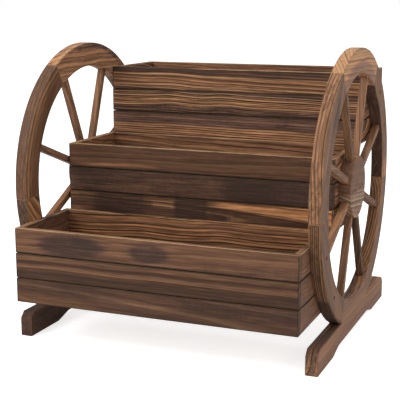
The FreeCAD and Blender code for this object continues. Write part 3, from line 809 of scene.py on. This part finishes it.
# tier, row, edge of that plank (0 lower, 1 upper), height from the edge, side of the axle
sinkPlaces = (("upper", 1, 0, 0.0055, 1), ("upper", 3, 1, -0.0205, 1),
              ("lower", 3, 1, -0.0165, -1), ("lower", 1, 0, 0.0245, -1))
rightFace = (0.92, 3.0)          # the face that looks to the right, as deep as it goes
felloeLooks = {
    "right_wheel_felloe_1": dict(
        heart=(-0.012, -0.110), taper=0.003, ringScale=0.7,
        warmth=0.50, shade=-0.44, contrast=1.0, burn=0.0, gleam=0.6,
        # the tread is darker at its lower end, towards the foot
        paint=(dab((-1.0, 0.38), (0.93, 3.0), fade=0.08, soft=0.04, burn=1.25),
               stripe(0.93, 3.0, soft=0.04, burn=0.12),
               dab(deep=rightFace, warmth=-0.38, shade=0.22, contrast=-0.50, gleam=-0.60))),
    "right_wheel_felloe_2": dict(
        heart=(-0.012, -0.110), taper=0.003, ringScale=1.1,
        warmth=0.50, shade=0.04, contrast=1.15, burn=0.0, gleam=0.8,
        paint=(stripe(0.93, 3.0, pale=0.10),
               dab(deep=rightFace, warmth=-0.42, gleam=-0.5, contrast=-0.25))),
    "right_wheel_felloe_3": dict(
        heart=(-0.080, -0.075), taper=0.003, ringScale=0.8,
        warmth=0.42, shade=0.95, contrast=0.9, burn=0.0, gleam=1.0,
        paint=(stripe(0.2, 3.0, pale=0.60),
               dab(across=(-3.0, -0.1), deep=rightFace, gleam=-0.5, warmth=-0.35, shade=-0.42,
                   contrast=-0.50))),
    "right_wheel_felloe_4": dict(
        heart=(0.075, -0.080), ringScale=1.0, warmth=0.34, shade=-0.12, contrast=0.55, burn=0.0,
        # painted shade on the inner tread, which faces down, in the char's dark
        paint=(stripe(-3.0, -0.94, soft=0.03, burn=0.80),
               dab((0.86, 2.0), deep=rightFace, shade=0.6, warmth=0.3))),
    "right_wheel_felloe_5": dict(
        heart=(-0.014, -0.060), ringScale=0.9,
        warmth=0.52, shade=0.02, contrast=1.0, burn=0.0, gleam=0.9,
        paint=(dab(deep=rightFace, warmth=-0.34, contrast=-0.65, gleam=-0.85, shade=-0.12),)),
    "left_wheel_felloe_1": dict(
        heart=(-0.060, 0.080), warmth=0.75, shade=0.10, contrast=0.9, burn=0.0, gleam=0.8,
        paint=(stripe(0.90, 3.0, soft=0.05, burn=0.55, warmth=-0.50, contrast=-0.50),)),
    "left_wheel_felloe_2": dict(
        heart=(-0.015, 0.120), taper=0.004, ringScale=1.2,
        warmth=0.42, shade=-0.34, contrast=0.40, burn=0.0, gleam=0.12,
        paint=(dab(across=(0.40, 0.75), deep=rightFace, shade=0.45),
               dab(across=(0.56, 0.70), deep=rightFace, soft=0.06, pale=0.55),
               dab(across=(0.14, 0.24), deep=rightFace, soft=0.06, pale=0.35),
               dab(across=(0.34, 0.48), deep=rightFace, soft=0.06, burn=0.45),
               dab(deep=rightFace, warmth=0.15),
               stripe(0.93, 3.0, warmth=-0.25))),
    "left_wheel_felloe_3": dict(
        heart=(-0.160, 0.040), ringScale=1.8,
        warmth=0.50, shade=0.24, contrast=0.70, burn=0.0, gleam=0.6,
        paint=(dab((0.3, 1.0), (0.45, 3.0), (0.9, 3.0), burn=0.50),
               stripe(0.93, 3.0, soft=0.04, shade=0.30),
               dab((-1.0, 0.36), (0.93, 3.0), (0.25, 0.85), pale=0.90),
               dab((0.62, 2.0), (0.93, 3.0), fade=0.06, soft=0.04, burn=0.4))),
}


def onCircle(centre, radius, angle, x):
    # angle in degrees from straight up towards the back
    turn = math.radians(angle)
    return Vector((x, centre.y + radius * math.sin(turn), centre.z + radius * math.cos(turn)))


def radialAxes(turn):
    # straight out from the axle at that turn, and square to it in the wheel's plane
    return (Vector((0, math.sin(turn), math.cos(turn))),
            Vector((0, math.cos(turn), -math.sin(turn))))


def cutHoles(piece, cutters):
    # cuts the cutters out of the piece, and leaves only the cut mesh
    for cutter in cutters:
        hole = piece.modifiers.new("hole", "BOOLEAN")
        hole.operation = "DIFFERENCE"
        hole.solver = "EXACT"
        hole.object = cutter
    shapes = bpy.context.evaluated_depsgraph_get()
    cut = bpy.data.meshes.new_from_object(piece.evaluated_get(shapes))
    piece.modifiers.clear()
    old = piece.data
    piece.data = cut
    bpy.data.meshes.remove(old)
    for cutter in cutters:
        bpy.data.objects.remove(cutter)
    cut.set_sharp_from_angle(angle=sharpAngle)


def holeCutter(centre, outsideX, way):
    radius, count = wheelValues["sinkRadius"], wheelValues["sinkSegments"]
    rings = []
    for x in (outsideX + way * wheelValues["cutOver"],
              outsideX - way * wheelValues["sinkDepth"]):
        rings.append([Vector((x, centre.y + radius * math.cos(math.tau * k / count),
                              centre.z + radius * math.sin(math.tau * k / count)))
                      for k in range(count)])
    return sweep("cutter", rings)


def makeFelloe(wheel, number, centre, halfThick, outer, holes):
    node = "%s_wheel_felloe_%d" % (wheel, number)
    span = (360 - 2 * wheelValues["saddleAngle"]) / wheelValues["felloes"]
    middleAngle = 180 + wheelValues["saddleAngle"] + (number - 0.5) * span
    halfWide = wheelValues["rimWidth"] / 2
    middleRadius = outer - halfWide
    reach = middleRadius * math.radians(span) / 2
    rings = []
    for place, drawnIn in stationsAlong(-reach, reach, wheelValues["rimStep"],
                                        wheelValues["jointEase"]):
        angle = middleAngle + math.degrees(place / middleRadius)
        section = softRectangle(halfWide - drawnIn, halfThick - drawnIn, wheelValues["rimEase"],
                                *wheelValues["rimRows"])
        rings.append([onCircle(centre, middleRadius + wide, angle, centre.x + thick)
                      for wide, thick in section])
    piece = sweep("%sFelloe%d" % (wheel, number), rings)
    outward = 1 if wheel == "right" else -1
    cutters = []
    for hole in holes:
        angle = math.degrees(math.atan2(hole.y - centre.y, hole.z - centre.z))
        if abs((angle - middleAngle + 180) % 360 - 180) < span / 2:
            cutters.append(holeCutter(hole, centre.x + outward * halfThick, outward))
    if cutters:
        cutHoles(piece, cutters)
    out, chord = radialAxes(math.radians(middleAngle))

    def locate(point):
        off = point - centre
        return off.dot(chord), off.dot(out) - middleRadius, off.x

    def edgePlace(point):
        off = point - centre
        angle = math.atan2(off.dot(chord), off.dot(out))
        return angle * middleRadius, math.hypot(off.y, off.z) - middleRadius, off.x

    # the boards are flat-sawn: the heart lies behind a face, so the tread has long stripes
    dice = random.Random(node + " heart")
    look = lookFor(node, wear=0.30, burn=dice.uniform(0.0, 0.08), contrast=dice.uniform(0.4, 0.7),
                   heart=(dice.choice((-1, 1)) * dice.uniform(0.06, 0.09),
                          -dice.uniform(0.07, 0.10)))
    look.update(felloeLooks.get(node, {}))
    dressWood(piece, look, "rim_wood", locate, (reach, halfWide, halfThick), edgePlace)
    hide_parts(node)


# right wheel, from the spoke nearest straight up, towards the back and round; the spoke pointing
# down to the front is made lighter with painted light
spokeShades = (0.20, 0.05, -0.35, -0.62, 0.28, 0.16, 0.08, -0.42)


def makeSpokes(wheel, centre, inner, outer):
    half = wheelValues["spokeSide"] / 2
    node = wheel + "_wheel_spokes"
    length = outer - inner
    section = softRectangle(half, half, wheelValues["spokeEase"], *wheelValues["spokeRows"])
    steps = wheelValues["spokeSteps"]
    for number in range(wheelValues["spokes"]):
        out, side = radialAxes(math.radians(
            wheelValues["firstSpoke"] + number * 360 / wheelValues["spokes"]))
        rings = []
        for k in range(steps + 1):
            ring = []
            for wide, thick in section:
                # the shoulders follow the hub's and the rim's curve
                start = math.sqrt(inner ** 2 - wide ** 2)
                end = math.sqrt(outer ** 2 - wide ** 2)
                ring.append(centre + out * (start + (end - start) * k / steps)
                            + side * wide + Vector((thick, 0, 0)))
            rings.append(ring)
        piece = sweep("%sSpoke%d" % (wheel, number + 1), rings)

        def locate(point):
            off = point - centre
            return off.dot(out) - inner - length / 2, off.dot(side), off.x

        look = lookFor("%s spoke %d" % (wheel, number))
        look["contrast"] *= 0.8
        look["shade"] = spokeShades[number] if wheel == "right" else look["shade"] * 1.5
        dressWood(piece, look, "spoke_wood", locate, (length / 2, half, half))
        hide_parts(node)


def lathe(name, axisPlace, outline, segments):
    # turns an outline of (x, radius) pairs about a line along X; it starts and ends on the line
    form = bmesh.new()
    first = form.verts.new(Vector((outline[0][0], axisPlace.y, axisPlace.z)))
    last = form.verts.new(Vector((outline[-1][0], axisPlace.y, axisPlace.z)))
    rows = [[form.verts.new(onCircle(axisPlace, radius, 360 * k / segments, x))
             for k in range(segments)] for x, radius in outline[1:-1]]
    for k in range(segments):
        after = (k + 1) % segments
        form.faces.new((first, rows[0][k], rows[0][after]))
        form.faces.new((last, rows[-1][after], rows[-1][k]))
        for near, far in zip(rows, rows[1:]):
            form.faces.new((near[k], far[k], far[after], near[after]))
    return asPiece(name, form)


hubLook = dict(
    heart=(-0.100, -0.040), ringScale=0.9, warmth=0.22, shade=-0.12, contrast=0.32,
    burn=0.0, gleam=0.0, wear=0.35, bumps=(),
    paint=(stripe(-0.10, 0.0, soft=0.035, burn=0.50),
           stripe(-3.0, -0.12, contrast=0.70, shade=0.20, gleam=0.8),
           stripe(-3.0, -0.14, pale=0.16),
           stripe(-0.34, -0.22, soft=0.05, pale=0.45),
           stripe(-0.60, -0.50, soft=0.05, pale=0.40)))


def makeHub(wheel):
    node = wheel + "_wheel_hub"
    low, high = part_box(node)
    centre = (low + high) / 2
    radius = (high.z - low.z) / 2
    ease = wheelValues["rimEase"]
    outline = [(low.x, share * (radius - ease)) for share in (0.0, 0.25, 0.5, 0.75, 1.0)]
    outline += [(low.x + ease * 0.3, radius - ease * 0.3), (low.x + ease, radius),
                (centre.x, radius), (high.x - ease, radius),
                (high.x - ease * 0.3, radius - ease * 0.3)]
    outline += [(high.x, share * (radius - ease)) for share in (1.0, 0.75, 0.5, 0.25, 0.0)]
    piece = lathe(wheel + "Hub", centre, outline, wheelValues["hubSegments"])

    def locate(point):
        off = point - centre
        return off.y, off.z, off.x

    def edgePlace(point):
        # only the round edges count; the height stays for the painted tones
        off = point - centre
        return math.hypot(off.y, off.z), off.z, off.x

    dressWood(piece, lookFor(node, **hubLook), "hub_wood", locate,
              (radius, radius, (high.x - low.x) / 2), edgePlace)
    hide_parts(node)


footValues = {
    "pad": 0.110,
    "ramp": 0.042,
    "arch": 0.011,
    "corner": 0.011,
    "toeHeight": 0.0497,
    "ease": 0.0013,
    "step": 0.009,
    "rows": (10, 5, 2),
}
footLooks = {
    "left": dict(heart=(0.012, 0.130), taper=0.004, ringScale=0.9, warmth=0.22, shade=-0.42,
                 contrast=0.35, gleam=0.10, paint=(dab((-1.0, 0.30), burn=0.45),)),
    "right": dict(heart=(0.020, -0.130), taper=0.003, ringScale=1.15, warmth=0.28, shade=0.22,
                  contrast=1.15, gleam=0.50,
                  paint=(dab((-1.0, 0.012), fade=0.006, soft=0.1, burn=0.12),
                         dab(deep=rightFace, contrast=-0.75, gleam=-0.30, shade=-0.10),
                         dab((-1.0, 0.3), (0.5, 3.0), burn=0.15),
                         dab((0.62, 2.0), (0.9, 3.0), warmth=0.35, shade=0.25))),
}


def makeFoot(wheel, centre, outer):
    node = wheel + "_foot"
    low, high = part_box(node)
    middle = (low + high) / 2
    half = (high.y - low.y) / 2
    halfThick = (high.x - low.x) / 2
    inner = outer - wheelValues["rimWidth"]
    turn = math.radians(wheelValues["saddleAngle"])
    hornOut, hornIn = outer * math.sin(turn), inner * math.sin(turn)
    hornTop = centre.z - inner * math.cos(turn)
    bevelStart = half - footValues["corner"]
    padEnd = half - footValues["pad"]
    archEnd = padEnd - footValues["ramp"]
    toe = footValues["toeHeight"]

    def bottomAt(y):
        share = min(1.0, max(0.0, (padEnd - abs(y)) / footValues["ramp"]))
        return low.z + footValues["arch"] * share

    def topAt(y):
        y = abs(y)
        if y > bevelStart:
            return low.z + toe - (y - bevelStart)
        if y >= hornOut:
            return low.z + toe
        if y > hornIn:
            return low.z + toe + (hornTop - toe) * (hornOut - y) / (hornOut - hornIn)
        return low.z + centre.z - math.sqrt(inner ** 2 - y ** 2)

    marks = [half, bevelStart, padEnd, archEnd, hornOut, hornIn, 0.0]
    corners = sorted({sign * mark for mark in marks for sign in (-1, 1)})
    places = []
    for first, second in zip(corners, corners[1:]):
        steps = max(1, math.ceil((second - first) / footValues["step"]))
        places += [first + (second - first) * k / steps for k in range(steps)]
    rings = []
    for y in places + corners[-1:]:
        bottom, top = bottomAt(y), topAt(y)
        section = softRectangle((top - bottom) / 2, halfThick, footValues["ease"],
                                *footValues["rows"])
        rings.append([Vector((middle.x + thick, middle.y + y, (bottom + top) / 2 + wide))
                      for wide, thick in section])
    piece = sweep(wheel + "Foot", rings)

    def locate(point):
        return point.y - middle.y, point.z - low.z - toe / 2, point.x - middle.x

    def edgePlace(point):
        y = point.y - middle.y
        bottom, top = bottomAt(y), topAt(y)
        share = (point.z - bottom) / (top - bottom) * 2 - 1
        return y, share * toe / 2, point.x - middle.x

    look = lookFor(node, wear=0.15, bumps=((0.3, 0.2, 0.001),), slope=0.0, burn=0.04,
                   **footLooks[wheel])
    dressWood(piece, look, "foot_wood", locate, (half, toe / 2, halfThick), edgePlace)
    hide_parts(node)


screwValues = {
    "sunkHead": 0.0038,
    "sunkRise": 0.0018,
    "wallHead": 0.0045,
    "wallRise": 0.0022,
    "segments": 28,
    "crossWide": 0.2,            # the cross's slots, as shares of the head's radius
    "crossLong": 0.75,
    "crossFrom": 0.35,           # where they are cut from and to, as shares of the rise
    "crossTo": 1.5,
    "fromEdge": 0.012,           # hub screws, from the plank's edge
    "fromAxle": 0.038,           # and from the axle
}


def makeScrew(name, place, way, radius, rise):
    # a domed head with a cross cut into it, its flat back at the place, facing along X
    outline = [(place.x, 0.0), (place.x, radius * 0.5), (place.x, radius)]
    outline += [(place.x + way * rise * share, radius * math.sqrt(1 - share ** 2.4))
                for share in (0.2, 0.45, 0.7, 0.9, 0.98)]
    outline.append((place.x + way * rise, 0.0))
    piece = lathe(name, place, outline, screwValues["segments"])
    short, long = radius * screwValues["crossWide"], radius * screwValues["crossLong"]
    depths = (rise * screwValues["crossFrom"], rise * screwValues["crossTo"])
    cutters = []
    for wide, high in ((short, long), (long, short)):
        section = softRectangle(wide, high, radius * 0.04, 2, 2, 2)
        cutters.append(sweep("cutter", [
            [Vector((place.x + way * depth, place.y + across, place.z + up))
             for across, up in section] for depth in depths]))
    cutHoles(piece, cutters)
    piece.data.materials.append(zincSteel)
    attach(piece, "root")


def sinksOf(centre, outer, faceX):
    # where the sunk screws are: at set heights on the planks, on a circle in the rim
    radius = outer - wheelValues["sinkInset"]
    places = []
    for tier, row, edge, rise, way in sinkPlaces:
        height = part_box("%s_front_plank_%d" % (tier, row))[edge].z + rise
        away = math.sqrt(radius ** 2 - (height - centre.z) ** 2)
        places.append(Vector((faceX, centre.y + way * away, height)))
    return places


def makeWallScrews(wheel, side, centre):
    # screws from inside the middle box into the hub
    number = 0
    for row, edge, way in ((1, 0, 1), (3, 1, -1)):
        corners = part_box("middle_%s_plank_%d" % (wheel, row))
        wallX = corners[0 if side > 0 else 1].x
        height = corners[edge].z + way * screwValues["fromEdge"]
        for along in (-1, 1):
            number += 1
            makeScrew("%sHubScrew%d" % (wheel, number),
                      Vector((wallX, centre.y + along * screwValues["fromAxle"], height)), -side,
                      screwValues["wallHead"], screwValues["wallRise"])


def makeWheels():
    for wheel, side in (("left", -1), ("right", 1)):
        hubLow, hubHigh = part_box(wheel + "_wheel_hub")
        centre = (hubLow + hubHigh) / 2
        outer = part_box(wheel + "_wheel_felloe_3")[1].z - centre.z
        halfThick = (hubHigh.x - hubLow.x) / 2
        hubRadius = (hubHigh.z - hubLow.z) / 2
        holes = sinksOf(centre, outer, centre.x + side * halfThick)
        for number, hole in enumerate(holes, 1):
            bottom = Vector((hole.x - side * wheelValues["sinkDepth"], hole.y, hole.z))
            makeScrew("%sRimScrew%d" % (wheel, number), bottom, side,
                      screwValues["sunkHead"], screwValues["sunkRise"])
        makeWallScrews(wheel, side, centre)
        for number in range(1, wheelValues["felloes"] + 1):
            makeFelloe(wheel, number, centre, halfThick, outer, holes)
        makeSpokes(wheel, centre, hubRadius, outer - wheelValues["rimWidth"])
        makeHub(wheel)
        makeFoot(wheel, centre, outer)


makeWheels()
print("wheels ready")


keyWoodValues = {
    "dark": (0.42, 0.28, 0.15, 1.0),
    "light": (0.58, 0.41, 0.24, 1.0),
}


def makeKeyWood():
    material, tree, shader = newMaterial("keyWood")
    streaks = placeGroup(tree, fibreStreaks, Grain_Place=addSource(tree, "TexCoord", "Object"))
    feed(addMix(streaks["Broad"], keyWoodValues["dark"], keyWoodValues["light"]),
         shader["Base Color"])
    feed(addRange(streaks["Fine"], 0.0, 1.0, 0.5, 0.7), shader["Roughness"])
    return material


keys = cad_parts["rim_keys"].data
keys.materials.clear()
keys.materials.append(makeKeyWood())
print("keys ready")


studioValues = {
    "floorColour": (0.90, 0.90, 0.90, 1.0),
    "floorSize": 12.0,
    "floorHeight": -0.0002,
    "floorRoughness": 0.9,
    "floorSpecular": 0.1,
    "floorGlow": 0.78,
    "floorBounce": 0.10,
    "backdrop": 1.0,
    "roomLight": 0.60,
}
lampValues = {                   # place, what it points at, size, power
    "key": ((-1.5, -1.9, 2.1), (0.0, 0.0, 0.3), 1.6, 50.0),
    "top": ((0.4, 0.2, 2.5), (0.0, 0.0, 0.2), 1.8, 22.0),
    "fill": ((2.4, -1.4, 1.1), (0.0, 0.0, 0.3), 1.6, 10.0),
}
cameraValues = {
    "place": (0.76867, -1.96469, 0.68212),
    "tilt": 78.604,
    "turn": 22.051,
    "lens": 90.69,
    "sensor": 36.0,
    "nearest": 0.05,
    "farthest": 60.0,
}


def whereSeen(tree, toTheEye, toTheRest):
    # one strength for the camera and another for what it lights
    seen = addSource(tree, "LightPath", "Is Camera Ray")
    return addRange(seen, 0.0, 1.0, toTheRest, toTheEye, False)


def makeFloorSheet():
    mesh = bpy.data.meshes.new("floor")
    form = bmesh.new()
    bmesh.ops.create_grid(form, x_segments=1, y_segments=1, size=studioValues["floorSize"])
    form.to_mesh(mesh)
    form.free()
    floor = bpy.data.objects.new("floor", mesh)
    floor.location.z = studioValues["floorHeight"]
    bpy.context.scene.collection.objects.link(floor)
    material, tree, shader = newMaterial("paleFloor")
    for name, value in (("Base Color", "floorColour"), ("Roughness", "floorRoughness"),
                        ("Specular IOR Level", "floorSpecular"),
                        ("Emission Color", "floorColour")):
        feed(studioValues[value], shader[name])
    # it glows to the eye so that it runs into the backdrop, and lights the stand less
    feed(whereSeen(tree, studioValues["floorGlow"], studioValues["floorBounce"]),
         shader["Emission Strength"])
    mesh.materials.append(material)


def makeRoom():
    # the room is plain white to look at, and dimmer as a light
    world = bpy.data.worlds.new("studio")
    bpy.context.scene.world = world
    world.use_nodes = True
    background = world.node_tree.nodes["Background"].inputs
    feed((1.0, 1.0, 1.0, 1.0), background["Color"])
    feed(whereSeen(world.node_tree, studioValues["backdrop"], studioValues["roomLight"]),
         background["Strength"])


def makeLamp(name, place, target, size, power):
    lamp = bpy.data.lights.new(name, "AREA")
    lamp.size = size
    lamp.energy = power
    item = bpy.data.objects.new(name, lamp)
    item.location = place
    item.rotation_euler = (Vector(target) - Vector(place)).to_track_quat("-Z", "Y").to_euler()
    bpy.context.scene.collection.objects.link(item)


def makeCamera():
    lens = bpy.data.cameras.new("camera")
    lens.lens = cameraValues["lens"]
    lens.sensor_width = cameraValues["sensor"]
    lens.clip_start = cameraValues["nearest"]
    lens.clip_end = cameraValues["farthest"]
    camera = bpy.data.objects.new("camera", lens)
    camera.location = cameraValues["place"]
    camera.rotation_euler = (math.radians(cameraValues["tilt"]), 0.0,
                             math.radians(cameraValues["turn"]))
    bpy.context.scene.collection.objects.link(camera)
    bpy.context.scene.camera = camera


makeFloorSheet()
makeRoom()
for name, settings in lampValues.items():
    makeLamp(name, *settings)
makeCamera()
bpy.context.scene.view_settings.view_transform = "Standard"
print("studio ready")
